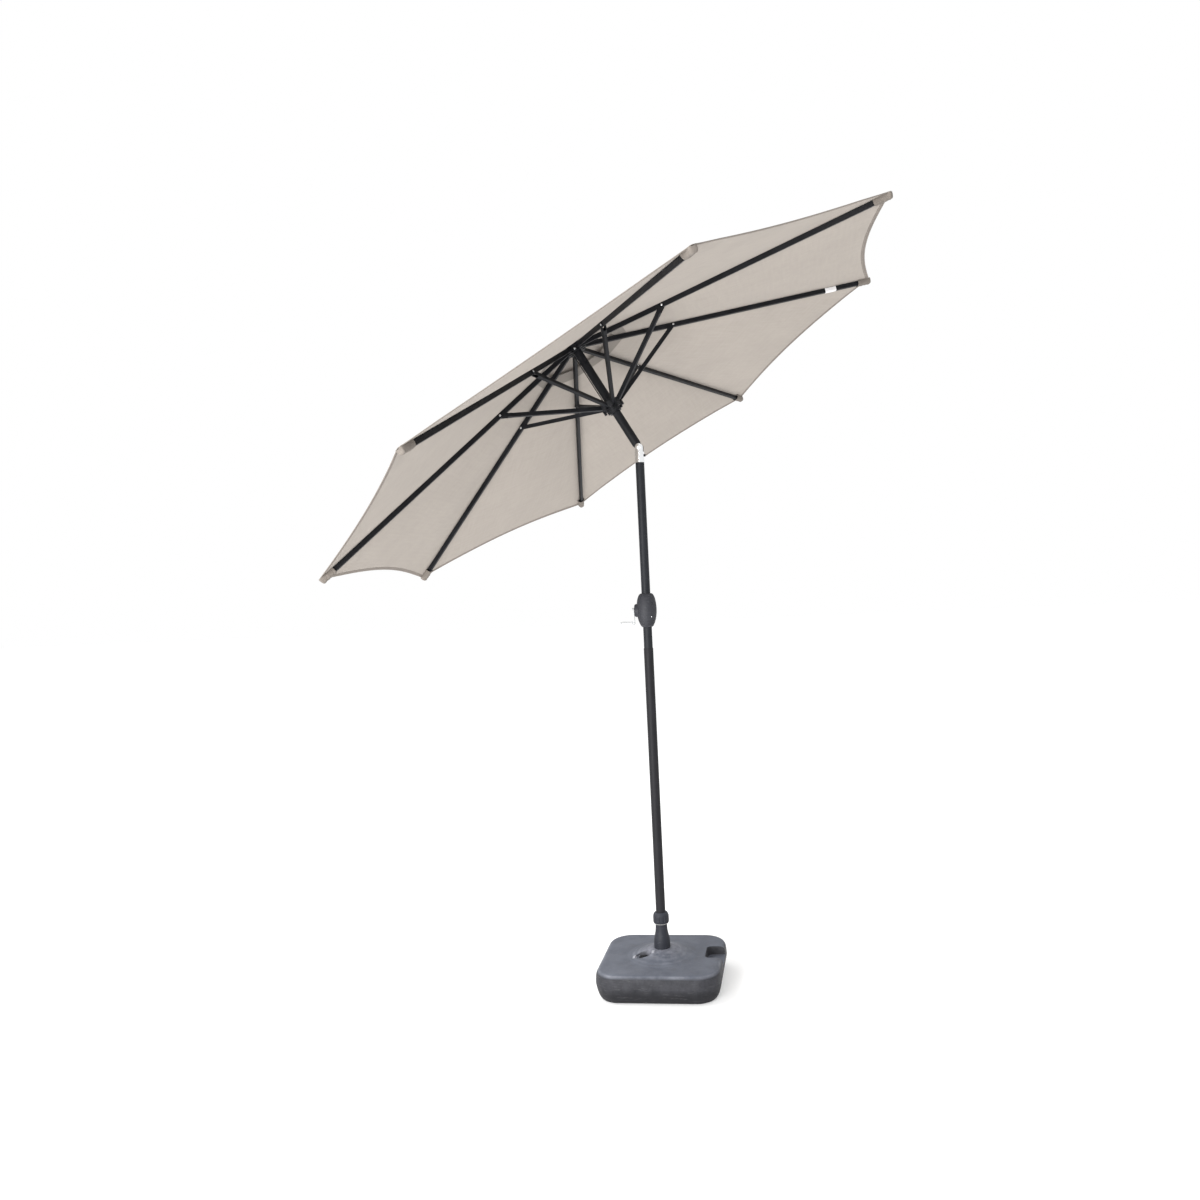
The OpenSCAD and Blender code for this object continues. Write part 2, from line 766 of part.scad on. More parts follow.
// The cloth that hangs on rib i: its share of the canopy and of the vent cap.
module canopy_gore(i) {
    across = [for (a = [0:GORE_ACROSS]) 2 * a / GORE_ACROSS - 1];
    main = [for (s = [0:GORE_ALONG], a = across) [s / GORE_ALONG, a]];
    cap = [for (s = [0:CAP_ALONG], a = across) [s / CAP_ALONG, a]];
    wide = slit(vent_r);
    color(CLOTH) bearing(i) {
        sheet([for (p = main) cloth_point(p[0], p[1] * wide, 0)],
              [for (p = main) cloth_point(p[0], p[1] * wide, cloth_t)], GORE_ACROSS, GORE_ALONG);
        sheet([for (p = cap) cap_point(p[0], p[1] * cap_wide(p[0]), 0)],
              [for (p = cap) cap_point(p[0], p[1] * cap_wide(p[0]), cloth_t)], GORE_ACROSS, CAP_ALONG);
    }
}
function cap_wide(s) = slit(finial_stem_r + 1 + (vent_cap_r - finial_stem_r - 1) * s);

base_tank();
water_fill();
filler_cap();
base_socket();
collar_gasket();
collar_wedge();
socket_collar();
lower_pole();
mid_pole();
crank_housing_front();
crank_housing_back();
housing_screws();
cord_spool();
crank_arm();
crank_grip();
tilt_socket();
tilt_pin();
tilt_button();
button_spring();
tilt_tongue();
upper_pole();
top_hub();
finial();
top_pulley();
runner();
lift_cord_lower();
lift_cord_upper();
lift_cord_fall();
for (i = ribs) {
    rib(i);
    rib_tip(i);
    strut(i);
    canopy_gore(i);
}
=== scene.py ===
# %% [markdown]
# # A tilting patio umbrella
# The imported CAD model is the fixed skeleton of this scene: poles, ribs, struts, hub, crank and base.
# This notebook loads it, dresses it in real finishes, and adds what a CAD solid cannot show well:
# the tensioned cloth with its hem and pockets, the blow-moulded tank, and small fittings.

# %% Load the frame
import json
import math

import bpy
import numpy as np
from mathutils import Matrix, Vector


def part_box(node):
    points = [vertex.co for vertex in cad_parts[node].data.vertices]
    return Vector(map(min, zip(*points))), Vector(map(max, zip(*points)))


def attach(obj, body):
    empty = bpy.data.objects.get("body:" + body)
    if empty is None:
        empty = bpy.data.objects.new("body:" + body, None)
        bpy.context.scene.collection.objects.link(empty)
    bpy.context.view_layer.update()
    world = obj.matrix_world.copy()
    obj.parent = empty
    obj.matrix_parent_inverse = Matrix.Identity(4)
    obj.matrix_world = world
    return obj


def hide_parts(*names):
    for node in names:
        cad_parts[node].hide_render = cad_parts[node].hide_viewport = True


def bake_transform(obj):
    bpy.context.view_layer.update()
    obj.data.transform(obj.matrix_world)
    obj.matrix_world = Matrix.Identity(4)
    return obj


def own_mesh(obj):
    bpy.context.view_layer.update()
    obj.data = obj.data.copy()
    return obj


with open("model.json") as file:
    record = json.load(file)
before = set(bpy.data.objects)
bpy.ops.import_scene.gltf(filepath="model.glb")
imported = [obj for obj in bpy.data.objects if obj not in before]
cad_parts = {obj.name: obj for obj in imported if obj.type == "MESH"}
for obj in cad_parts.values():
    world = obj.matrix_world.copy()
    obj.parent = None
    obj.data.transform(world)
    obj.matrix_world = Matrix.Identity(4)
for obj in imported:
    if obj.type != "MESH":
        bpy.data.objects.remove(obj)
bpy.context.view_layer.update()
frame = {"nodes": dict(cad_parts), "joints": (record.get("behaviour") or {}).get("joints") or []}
JOINTS = {j["name"]: j for j in frame["joints"]}

# %% [markdown]
# ## Camera
# The view is a low three-quarter look up into the canopy, taken from a standing eye height about
# 3.9 m away. A small shift frames the object the way a cropped product shot does, and a slight
# roll makes the mast lean a little.

# %% Camera
CAMERA_AT = (0.591, -3.883, 1.618)
YAW, PITCH, ROLL = 7.8, -0.24, 2.66
SENSOR = 36.0
FOCAL_SHARE = 985.7 / 1200
SHIFT = (-0.05, -0.0167)


def turn(axis, degrees):
    """A 3 x 3 rotation by an angle about X, Y or Z."""
    c, s = math.cos(math.radians(degrees)), math.sin(math.radians(degrees))
    if axis == "X":
        return np.array([[1, 0, 0], [0, c, -s], [0, s, c]])
    if axis == "Y":
        return np.array([[c, 0, s], [0, 1, 0], [-s, 0, c]])
    return np.array([[c, -s, 0], [s, c, 0], [0, 0, 1]])


def make_camera():
    """The camera's columns are right, up and back; forward is yaw, then pitch, then roll about it."""
    data = bpy.data.cameras.new("camera")
    data.sensor_width = SENSOR
    data.lens = SENSOR * FOCAL_SHARE
    data.shift_x, data.shift_y = SHIFT
    cam = bpy.data.objects.new("camera", data)
    bpy.context.scene.collection.objects.link(cam)
    m = turn("Z", YAW) @ turn("X", PITCH) @ turn("Y", ROLL)
    right, forward, up = m[:, 0], m[:, 1], m[:, 2]
    world = np.eye(4)
    world[:3, 0], world[:3, 1], world[:3, 2], world[:3, 3] = right, up, -forward, CAMERA_AT
    cam.matrix_world = Matrix(world.tolist())
    bpy.context.scene.camera = cam
    return cam


camera = make_camera()
print("lens", round(camera.data.lens, 1), "mm")

# %% [markdown]
# ## Light and floor
# Soft, even daylight: a bright sky from everywhere, one broad key above the camera's left and a
# low fill, because the inside of the canopy is what the viewer sees. The floor is plain and pale,
# and glows faintly so that it runs into the white sky with no horizon.

# %% Light and floor
def area_light(name, at, aim, size, watts, colour=(1, 1, 1)):
    """A square area light at a point, turned to face another point."""
    data = bpy.data.lights.new(name, "AREA")
    data.size = size
    data.energy = watts
    data.color = colour
    lamp = bpy.data.objects.new(name, data)
    bpy.context.scene.collection.objects.link(lamp)
    back = np.array(at, float) - np.array(aim, float)
    back /= np.linalg.norm(back)
    right = np.cross((0, 0, 1), back)
    right /= np.linalg.norm(right)
    world = np.eye(4)
    world[:3, 0], world[:3, 1], world[:3, 2], world[:3, 3] = right, np.cross(back, right), back, at
    lamp.matrix_world = Matrix(world.tolist())
    return lamp


def make_light():
    """A white world, a high key on the left, a broad low fill in front and a soft light behind."""
    world = bpy.data.worlds.new("sky")
    bpy.context.scene.world = world
    world.use_nodes = True
    background = world.node_tree.nodes["Background"]
    background.inputs["Color"].default_value = (1.0, 1.0, 1.0, 1)
    background.inputs["Strength"].default_value = 1.0
    area_light("key", (-3.4, -1.2, 4.8), (0, 0, 1.9), 2.0, 120)
    area_light("fill", (-1.7, -4.4, 1.1), (0, 0, 1.9), 3.0, 290)
    area_light("back", (-2.8, 2.4, 4.6), (0, 0, 1.9), 2.5, 90)


def make_floor():
    """A large pale square just under the base."""
    half = 30.0
    mesh = bpy.data.meshes.new("floor")
    corners = [(-half, -half, 0), (half, -half, 0), (half, half, 0), (-half, half, 0)]
    mesh.from_pydata(corners, [], [(0, 1, 2, 3)])
    floor = bpy.data.objects.new("floor", mesh)
    bpy.context.scene.collection.objects.link(floor)
    mat = bpy.data.materials.new("floor_paint")
    mat.use_nodes = True
    shader = mat.node_tree.nodes["Principled BSDF"]
    shader.inputs["Base Color"].default_value = (0.82, 0.82, 0.82, 1)
    shader.inputs["Roughness"].default_value = 0.9
    shader.inputs["Emission Color"].default_value = (1, 1, 1, 1)
    shader.inputs["Emission Strength"].default_value = 0.25
    floor.data.materials.append(mat)
    return floor


make_light()
make_floor()
bpy.context.scene.view_settings.view_transform = "Standard"
print("lights and floor are in")

# %% [markdown]
# ## Finishes
# Every finish is a small node tree. A helper class keeps each recipe short: it makes nodes, joins
# them, and ends in one Principled shader. Noise gives what a real surface has: blotches, dust,
# scuffs and grain, at the size they have in metres.

# %% A helper for finishes
class Finish:
    """One material, built node by node; values are sockets or plain numbers."""

    def __init__(self, name, **sockets):
        self.mat = bpy.data.materials.new(name)
        self.mat.use_nodes = True
        self.tree = self.mat.node_tree
        self.shader = self.tree.nodes["Principled BSDF"]
        self.coords = self.tree.nodes.new("ShaderNodeTexCoord")
        for key, value in sockets.items():
            self.shader.inputs[key.replace("_", " ")].default_value = value

    def put(self, socket, value):
        """Joins a socket to another, or sets its value."""
        if isinstance(value, bpy.types.NodeSocket):
            self.tree.links.new(value, socket)
        else:
            socket.default_value = value

    def node(self, kind, inputs=None, **settings):
        """A node of a kind, with its settings and its inputs by name or number."""
        made = self.tree.nodes.new("ShaderNode" + kind)
        for key, value in settings.items():
            setattr(made, key, value)
        for key, value in (inputs or {}).items():
            self.put(made.inputs[key], value)
        return made

    def where(self, space="Object", scale=(1, 1, 1), rotation=(0, 0, 0)):
        """Coordinates from the object or its UV map, scaled and turned."""
        return self.node("Mapping", {0: self.coords.outputs[space], 2: rotation, 3: scale}).outputs[0]

    def noise(self, size, at=None, detail=3, roughness=0.55, distortion=0.0):
        """Fractal noise whose main features are size metres across, from 0 to 1."""
        made = self.node("TexNoise", {"Vector": at or self.where(), "Scale": 1 / size, "Detail": detail,
                                      "Roughness": roughness, "Distortion": distortion})
        return made.outputs["Fac"]

    def ramp(self, value, low, high, to_low=0.0, to_high=1.0):
        """A value stretched so that low to high becomes to_low to to_high, held at the ends."""
        made = self.node("MapRange", {0: value, 1: low, 2: high, 3: to_low, 4: to_high})
        return made.outputs[0]

    def sums(self, kind, a, b):
        """Arithmetic on two values."""
        made = self.node("Math", operation=kind)
        self.put(made.inputs[0], a)
        self.put(made.inputs[1], b)
        return made.outputs[0]

    def mix(self, share, a, b):
        """Colour a turning into colour b as share goes from 0 to 1."""
        made = self.node("Mix", data_type="RGBA")
        self.put(made.inputs["Factor"], share)
        self.put(made.inputs["A"], a)
        self.put(made.inputs["B"], b)
        return made.outputs["Result"]

    def bump(self, height, depth, strength=1.0, onto=None):
        """A bump of a height map, depth metres deep."""
        made = self.node("Bump", {"Strength": strength, "Distance": depth, "Height": height})
        if onto is not None:
            self.put(made.inputs["Normal"], onto)
        return made.outputs[0]

    def done(self, colour=None, roughness=None, normal=None):
        """Joins colour, roughness and bump to the shader and returns the material."""
        for name, value in (("Base Color", colour), ("Roughness", roughness), ("Normal", normal)):
            if value is not None:
                self.put(self.shader.inputs[name], value)
        return self.mat


def rgb(r, g, b):
    """A colour from 0 to 255 screen values, as linear light."""
    linear = [(v / 255 / 12.92) if v < 10.3 else ((v / 255 + 0.055) / 1.055) ** 2.4 for v in (r, g, b)]
    return (*linear, 1.0)


print("finish helper ready")

# %% [markdown]
# ### Canopy cloth
# Solution-dyed polyester: a plain weave of taupe yarn. Each panel carries its own UV map in metres,
# measured from the panel's middle line, so the threads run along the panel and break at the seams
# as they do on a sewn canopy. Two waves make warp and weft; slow noise gives slubs and weathering.
# The band under the vent cap is darkened in colour as painted shade.

# %% Canopy cloth
def woven(name, light, dark, pitch=0.0022, dirt=0.35, lap=None):
    """A plain weave: warp and weft waves multiplied, on UV metres, with slubs and soft stains.

    Nearer the pole than lap the vent cap lies over the cloth as a second layer; there the colour is darkened
    as painted shade, for the sun that the second layer holds back."""
    f = Finish(name, Sheen_Weight=0.04, Sheen_Roughness=0.5, Specular_IOR_Level=0.18)
    uv = f.where("UV")
    warp = f.node("TexWave", {"Vector": uv, "Scale": 0.314 / pitch, "Distortion": 0.6, "Detail": 1.0},
                  bands_direction="X").outputs["Fac"]
    weft = f.node("TexWave", {"Vector": uv, "Scale": 0.314 / pitch, "Distortion": 0.6, "Detail": 1.0},
                  bands_direction="Y").outputs["Fac"]
    threads = f.sums("MULTIPLY", warp, weft)
    slub = f.noise(0.012, f.where("UV", (0.12, 1, 1)), 2)
    slub_across = f.noise(0.012, f.where("UV", (1, 0.12, 1)), 2)
    yarn = f.sums("ADD", f.sums("MULTIPLY", slub, 0.5), f.sums("MULTIPLY", slub_across, 0.5))
    stain = f.ramp(f.noise(0.28, detail=5, roughness=0.6), 0.38, 0.72)
    tone = f.sums("ADD", f.sums("MULTIPLY", f.ramp(yarn, 0.3, 0.7), 0.5), f.sums("MULTIPLY", stain, dirt))
    colour = f.mix(f.sums("MULTIPLY", tone, 0.8), light, dark)
    colour = f.mix(f.sums("MULTIPLY", threads, 0.22), colour, dark)
    # Painted shade: under the vent cap the colour turns towards a dimmer copy of the dark yarn.
    if lap:
        along = f.node("SeparateXYZ", {0: f.coords.outputs["UV"]}).outputs[1]
        shade = tuple(0.6 * v for v in dark[:3]) + (1,)
        colour = f.mix(f.ramp(along, lap - 0.003, lap + 0.001, 0.85, 0.0), colour, shade)
    height = f.sums("ADD", threads, f.sums("MULTIPLY", yarn, 0.6))
    return f.done(colour, f.ramp(yarn, 0.2, 0.8, 0.78, 0.92), f.bump(height, 0.0003, 0.45))


CLOTH = woven("taupe_cloth", rgb(171, 163, 155), rgb(153, 146, 139), lap=0.2135)
# The vent cap is the same cloth painted lighter: painted light for the sun through its single layer.
LIT_CAP_CLOTH = woven("cap_cloth", rgb(178, 170, 163), rgb(161, 154, 147))
POCKET_CLOTH = woven("pocket_cloth", rgb(124, 117, 110), rgb(104, 98, 93), pitch=0.003)
print("cloth finishes:", CLOTH.name, LIT_CAP_CLOTH.name, POCKET_CLOTH.name)

# %% [markdown]
# ### Paint, plastic and metal
# Powder coat is a satin paint with a fine orange-peel. Moulded plastic has a spark-eroded grain
# and picks up dust on faces that look up. Bright metal is polished, with hairline scratches.

# %% Paint, plastic and metal
def powder_coat(name, colour, worn, roughness=0.5):
    """Satin paint: orange-peel bump, a little fading in blotches, and pale rubbed specks."""
    f = Finish(name, Specular_IOR_Level=0.16)
    peel = f.noise(0.0016, detail=2)
    fade = f.ramp(f.noise(0.09, detail=4), 0.4, 0.75)
    specks = f.ramp(f.noise(0.006, detail=5, roughness=0.7), 0.66, 0.74)
    tone = f.mix(f.sums("MULTIPLY", fade, 0.5), colour, worn)
    tone = f.mix(f.sums("MULTIPLY", specks, 0.35), tone, worn)
    return f.done(tone, f.ramp(fade, 0, 1, roughness - 0.06, roughness + 0.1), f.bump(peel, 0.0002, 0.35))


def moulded(name, colour, dust, grain=0.0011, roughness=0.55, dusty=0.6):
    """Grained plastic with dust on the faces that look up and scuffs that run every way."""
    f = Finish(name, Specular_IOR_Level=0.28)
    fine = f.noise(grain, detail=2)
    blotch = f.noise(0.07, detail=5, roughness=0.6)
    scuff = f.ramp(f.noise(0.02, f.where(scale=(1, 6, 3), rotation=(0.3, 0.5, 0.8)), 4), 0.6, 0.7)
    facing = f.node("NewGeometry").outputs["Normal"]
    up = f.node("SeparateXYZ", {0: facing}).outputs[2]
    settled = f.sums("MULTIPLY", f.ramp(up, 0.25, 0.95), f.ramp(blotch, 0.25, 0.7, 0.45, 1.0))
    tone = f.mix(f.sums("MULTIPLY", settled, dusty), colour, dust)
    tone = f.mix(f.sums("MULTIPLY", scuff, 0.25), tone, dust)
    rough = f.sums("ADD", f.ramp(blotch, 0.3, 0.7, roughness - 0.07, roughness + 0.07),
                   f.sums("MULTIPLY", settled, 0.15))
    return f.done(tone, rough, f.bump(fine, 0.00025, 0.4))


def bright_metal(name, colour, roughness, scratch=0.1):
    """Polished metal with hairline scratches along it."""
    f = Finish(name, Metallic=1.0)
    lines = f.noise(0.004, f.where(scale=(14, 14, 0.6)), 3)
    cloud = f.noise(0.05, detail=4)
    rough = f.sums("ADD", f.ramp(cloud, 0.3, 0.7, roughness * 0.8, roughness * 1.3),
                   f.sums("MULTIPLY", f.ramp(lines, 0.5, 0.7), scratch))
    tone = f.mix(f.ramp(cloud, 0.35, 0.8, 0, 0.35), colour, tuple(0.82 * v for v in colour[:3]) + (1,))
    return f.done(tone, rough, f.bump(lines, 0.00008, 0.25))


FRAME_COAT = powder_coat("black_powder_coat", rgb(22, 23, 26), rgb(40, 41, 45))
POLE_COAT = powder_coat("charcoal_powder_coat", rgb(28, 30, 34), rgb(44, 46, 50))
LOWER_COAT = powder_coat("lower_pole_coat", rgb(28, 28, 31), rgb(44, 43, 47), 0.54)
DARK_PLASTIC = moulded("dark_plastic", rgb(25, 26, 29), rgb(58, 58, 62), dusty=0.3)
HOUSING_PLASTIC = moulded("housing_plastic", rgb(44, 45, 50), rgb(80, 81, 87), dusty=0.35)
NECK_PLASTIC = moulded("neck_plastic", rgb(35, 37, 44), rgb(82, 85, 94), dusty=0.45)
CHROME = bright_metal("knuckle_chrome", (0.86, 0.87, 0.88, 1), 0.12)
STEEL = bright_metal("zinc_steel", (0.68, 0.69, 0.70, 1), 0.3)
SILVER = powder_coat("silver_lacquer", rgb(190, 192, 193), rgb(162, 164, 166), 0.34)
print("metal, paint and plastic finishes are ready")

# %% [markdown]
# ### Tank plastic
# The tank is blow-moulded polythene that has stood outdoors: a blue-grey top under pale dust, sides
# that go brown-grey and darker towards the ground, drag scuffs along the lower edge, and painted
# highlights at both ends of the filler pocket.

# %% Tank plastic
def tank_plastic():
    """Blue-grey plastic: dust where it faces up and round the neck, darker low down, level scuffs, and
    painted highlights at the filler pocket's ends.
    """
    f = Finish("tank_plastic", Specular_IOR_Level=0.28)
    x, y, z = f.node("SeparateXYZ", {0: f.coords.outputs["Object"]}).outputs
    facing = f.node("SeparateXYZ", {0: f.node("NewGeometry").outputs["Normal"]}).outputs[2]
    blotch = f.noise(0.11, detail=6, roughness=0.62)
    cloud = f.noise(0.035, detail=5, roughness=0.65)
    scuff = f.ramp(f.noise(0.05, f.where(scale=(1, 1, 7)), 5, 0.7), 0.56, 0.68)
    rub = f.ramp(f.noise(0.03, f.where(scale=(1, 4, 1), rotation=(0, 0, 0.5)), 6, 0.75), 0.6, 0.72)
    far = f.sums("SQRT", f.sums("ADD", f.sums("MULTIPLY", x, x), f.sums("MULTIPLY", y, y)), 0)
    neck = f.sums("MULTIPLY", f.ramp(far, 0.045, 0.1, 0.9, 0.0), f.ramp(cloud, 0.35, 0.62))
    up = f.ramp(facing, 0.35, 0.95)
    shoulder = f.sums("MULTIPLY", f.ramp(facing, 0.45, 0.8), f.ramp(facing, 0.97, 0.88))
    # Darker towards the ground.
    low = f.ramp(f.sums("ADD", z, f.sums("MULTIPLY", blotch, 0.04)), 0.055, 0.085, 1.0, 0.0)
    side = f.mix(f.ramp(cloud, 0.35, 0.7), rgb(50, 50, 55), rgb(36, 37, 41))
    tone = f.mix(f.sums("MULTIPLY", low, 0.85), side, rgb(21, 21, 25))
    top = f.mix(f.ramp(cloud, 0.3, 0.75), rgb(74, 78, 88), rgb(94, 98, 108))
    top = f.mix(f.sums("MULTIPLY", f.ramp(blotch, 0.42, 0.7), 0.6), top, rgb(104, 108, 118))
    tone = f.mix(up, tone, top)
    tone = f.mix(neck, tone, rgb(132, 133, 142))
    # Painted highlights: pale spots at both ends of the filler pocket.
    wide = f.sums("ABSOLUTE", f.sums("ADD", x, 0.07), 0)
    deep = f.sums("ABSOLUTE", f.sums("ADD", y, 0.045), 0)
    tips = f.sums("MULTIPLY", f.ramp(wide, 0.027, 0.031), f.ramp(wide, 0.046, 0.040))
    tips = f.sums("MULTIPLY", tips, f.ramp(deep, 0.012, 0.008))
    tone = f.mix(f.sums("MULTIPLY", tips, 0.8), tone, rgb(168, 169, 176))
    pale = f.sums("MULTIPLY", shoulder, f.ramp(blotch, 0.4, 0.65, 0.0, 0.6))
    tone = f.mix(pale, tone, rgb(134, 136, 144))
    tone = f.mix(f.sums("MULTIPLY", scuff, 0.35), tone, rgb(84, 83, 85))
    tone = f.mix(f.sums("MULTIPLY", f.sums("MULTIPLY", rub, up), 0.4), tone, rgb(136, 138, 145))
    grain = f.sums("ADD", f.noise(0.0014, detail=2), f.sums("MULTIPLY", cloud, 1.2))
    return f.done(tone, f.ramp(cloud, 0.3, 0.7, 0.52, 0.7), f.bump(grain, 0.0006, 0.4))


TANK = tank_plastic()
print("tank finish ready")

# %% [markdown]
# ### Cord, seal and blank label
# The braided lift cord, the pale seal ring under the collar, and the blank white tab on one rib.

# %% Cord, seal and label
def braid():
    """Two slanting waves crossed on the cord's own UV map, where V runs along the cord."""
    f = Finish("braided_cord", Roughness=0.8)
    one = f.node("TexWave", {"Vector": f.where("UV", rotation=(0, 0, 0.8)), "Scale": 60.0},
                 bands_direction="X").outputs["Fac"]
    two = f.node("TexWave", {"Vector": f.where("UV", rotation=(0, 0, -0.8)), "Scale": 60.0},
                 bands_direction="X").outputs["Fac"]
    weave = f.sums("MULTIPLY", one, two)
    return f.done(f.mix(weave, rgb(22, 22, 23), rgb(46, 45, 44)), None, f.bump(weave, 0.0006, 0.6))


def soft_white(name, colour):
    """A matt pale surface with a faint mottle."""
    f = Finish(name, Roughness=0.7)
    mottle = f.noise(0.01, detail=4)
    tone = f.mix(f.ramp(mottle, 0.35, 0.7), colour, tuple(0.88 * v for v in colour[:3]) + (1,))
    return f.done(tone, None, f.bump(mottle, 0.0002, 0.3))


CORD = braid()
SEAL = soft_white("pale_seal", rgb(170, 170, 168))
LABEL = soft_white("blank_label", rgb(236, 236, 238))
print("small finishes ready")

# %% [markdown]
# ## Dress the CAD nodes
# The skeleton keeps its exact shape and only changes its finish: each node's name picks a material.

# %% Dress the CAD nodes
DRESS = {
    "filler_cap": DARK_PLASTIC, "base_socket": NECK_PLASTIC, "collar_gasket": SEAL,
    "collar_wedge": DARK_PLASTIC, "socket_collar": NECK_PLASTIC, "lower_pole": LOWER_COAT,
    "mid_pole": POLE_COAT, "crank_housing_front": HOUSING_PLASTIC, "crank_housing_back": HOUSING_PLASTIC,
    "housing_screws": STEEL, "cord_spool": STEEL, "crank_arm": SILVER, "crank_grip": SILVER,
    "tilt_socket": CHROME, "tilt_pin": STEEL, "tilt_button": DARK_PLASTIC, "button_spring": STEEL,
    "tilt_tongue": DARK_PLASTIC, "upper_pole": FRAME_COAT, "top_hub": DARK_PLASTIC,
    "finial": DARK_PLASTIC, "top_pulley": STEEL, "runner": DARK_PLASTIC, "lift_cord_lower": CORD,
    "lift_cord_upper": CORD, "rib": FRAME_COAT, "strut": FRAME_COAT, "rib_tip": DARK_PLASTIC,
    "water_fill": TANK,
}


def dress(nodes):
    """Gives each node the finish of its name, or of its name without its number."""
    for name, node in nodes.items():
        key = name if name in DRESS else name.rsplit("_", 1)[0]
        if key in DRESS:
            for slot in node.material_slots:
                slot.material = DRESS[key]


dress(frame["nodes"])
print(len(frame["nodes"]), "CAD nodes dressed")

# %% [markdown]
# ## Two tools for new surfaces
# Every new piece is a grid of points computed as one array. `skin` turns a grid into a mesh and can
# close it either way; its UV map can be given in metres. `bearing` maps points that are written
# beside one rib, with X outwards and Z up the leaning pole, into the shared frame.

# %% Grid to mesh
def skin(name, grid, finish, uv=None, around=False, caps=False, thick=None):
    """A mesh over an (n, m, 3) grid of points; uv is (n, m, 2), or (n, m + 1, 2) when it goes around.

    around joins the last column to the first, caps closes the first and last rows with one face
    each, and thick gives a thin sheet its two sides."""
    n, m = grid.shape[:2]
    row, col = np.meshgrid(np.arange(n - 1), np.arange(m if around else m - 1), indexing="ij")
    rows = np.stack([row, row, row + 1, row + 1], -1).reshape(-1, 4)
    cols = np.stack([col, col + 1, col + 1, col], -1).reshape(-1, 4)
    faces = (rows * m + cols % m).tolist()
    if caps:
        faces += [np.arange(m)[::-1].tolist(), (np.arange(m) + (n - 1) * m).tolist()]
    mesh = bpy.data.meshes.new(name)
    mesh.from_pydata(grid.reshape(-1, 3).tolist(), [], faces)
    if uv is not None:
        flat = np.zeros((len(mesh.loops), 2), np.float32)
        flat[:rows.size] = uv[rows.ravel(), cols.ravel()]
        mesh.uv_layers.new(name="metres").data.foreach_set("uv", flat.ravel())
    mesh.polygons.foreach_set("use_smooth", np.ones(len(mesh.polygons), bool))
    sharp = np.zeros(len(mesh.edges), bool)
    ends = np.empty(2 * len(mesh.edges), np.int32)
    mesh.edges.foreach_get("vertices", ends)
    first, last = ends.reshape(-1, 2).T
    lines, sides = (first // m, last // m), (first % m, last % m)
    for line in (0, n - 1):
        sharp |= (lines[0] == line) & (lines[1] == line)
    if not around:
        for side in (0, m - 1):
            sharp |= (sides[0] == side) & (sides[1] == side)
    mesh.edges.foreach_set("use_edge_sharp", sharp)
    mesh.materials.append(finish)
    made = bpy.data.objects.new(name, mesh)
    bpy.context.scene.collection.objects.link(made)
    if thick:
        wall = made.modifiers.new("thickness", "SOLIDIFY")
        wall.thickness = thick
        wall.offset = 0.0
        wall.use_even_offset = True
    return made


def unit(v):
    """A vector of length one."""
    return np.asarray(v, float) / np.linalg.norm(v)


def vertices(name):
    """All vertices of a CAD node, as an (n, 3) array."""
    mesh = frame["nodes"][name].data
    flat = np.empty(len(mesh.vertices) * 3, np.float32)
    mesh.vertices.foreach_get("co", flat)
    return flat.reshape(-1, 3).astype(float)


print("surface helpers ready")

# %% Where the ribs are
RIBS = range(1, 9)
UP = -unit(JOINTS["runner_slide"]["axis"])
HINGES = {i: np.array(JOINTS[f"rib_{i}_fold"]["pos_m"]) for i in RIBS}
HUB = np.mean(list(HINGES.values()), axis=0)
HINGE_R = float(np.linalg.norm(HINGES[1] - HUB))
HALF = math.pi / len(RIBS)


def bearing(i):
    """Columns outwards, sideways and up for rib i; its origin is the hub's centre."""
    out = unit(HINGES[i] - HUB)
    return np.stack([out, np.cross(UP, out), UP], 1)


def place(i, points):
    """Points written beside rib i, moved into the shared frame."""
    return points @ bearing(i).T + HUB


tips = vertices("rib_tip_1")
reach = np.linalg.norm(tips - HINGES[1], axis=1)
END = (tips[reach > reach.max() - 1e-4].mean(axis=0) - HUB) @ bearing(1)
TIP_R = float(END[0])
SLOPE = float(-END[2] / (TIP_R - HINGE_R))
LEAN = math.atan(SLOPE)
RIB_LEN = (TIP_R - HINGE_R) / math.cos(LEAN)


def beside_rib(i, along, side, up):
    """Points in a rib's own frame: along it from its hinge, to its side, and square off its top."""
    c, s = math.cos(LEAN), math.sin(LEAN)
    local = np.stack(np.broadcast_arrays(HINGE_R + along * c + up * s, side, up * c - along * s), -1)
    return place(i, local)


print("tip radius", round(TIP_R, 4), "rib slope", round(math.degrees(LEAN), 2), "degrees")

# %% [markdown]
# ## The canopy cloth
# Between two ribs a panel is stretched almost straight, sinks a little in its middle and is cut
# with a hollow hem. Cloth `i` is what one rib carries: half a panel on either side of it. Both
# sides of every middle line follow one formula with no slope across it, so the eight pieces meet
# as one continuous sheet. Broad unevenness and the creases that run out of each tip keep it from
# looking like a computed surface.

# %% Shape of the main cloth
VENT_R, OVER, SCALLOP, SAG = 0.165, 0.006, 0.04, 0.014
APEX = HINGE_R * SLOPE + 0.011 / math.cos(LEAN)


def bow(a):
    """0 over a rib and 1 midway to the next, flat there: 1 - (1 - |a| / half)^2."""
    return 1 - (1 - np.abs(a) / HALF) ** 2


def hem_r(a):
    """The hem's radius, drawn in midway between ribs."""
    return (TIP_R + OVER) * (1 - SCALLOP * bow(a))


def straight(r, a):
    """Distance from the pole, at bearing a, of a straight line that meets the ribs at radius r."""
    return r * math.cos(HALF) / np.cos(HALF - np.abs(a))


def creases(i, x, y):
    """Tension folds that fan out of the tip: a cosine of the angle round it, dying away with distance."""
    far = np.hypot(x - TIP_R, y)
    fan = np.arctan2(np.abs(y), TIP_R - x)
    size = 0.0042 * np.exp(-far / 0.23) * np.minimum(1, far / 0.14) ** 2
    return size * np.cos(9 * fan + 1.3 * i + np.sign(y)) * np.sin(2 * fan) ** 2


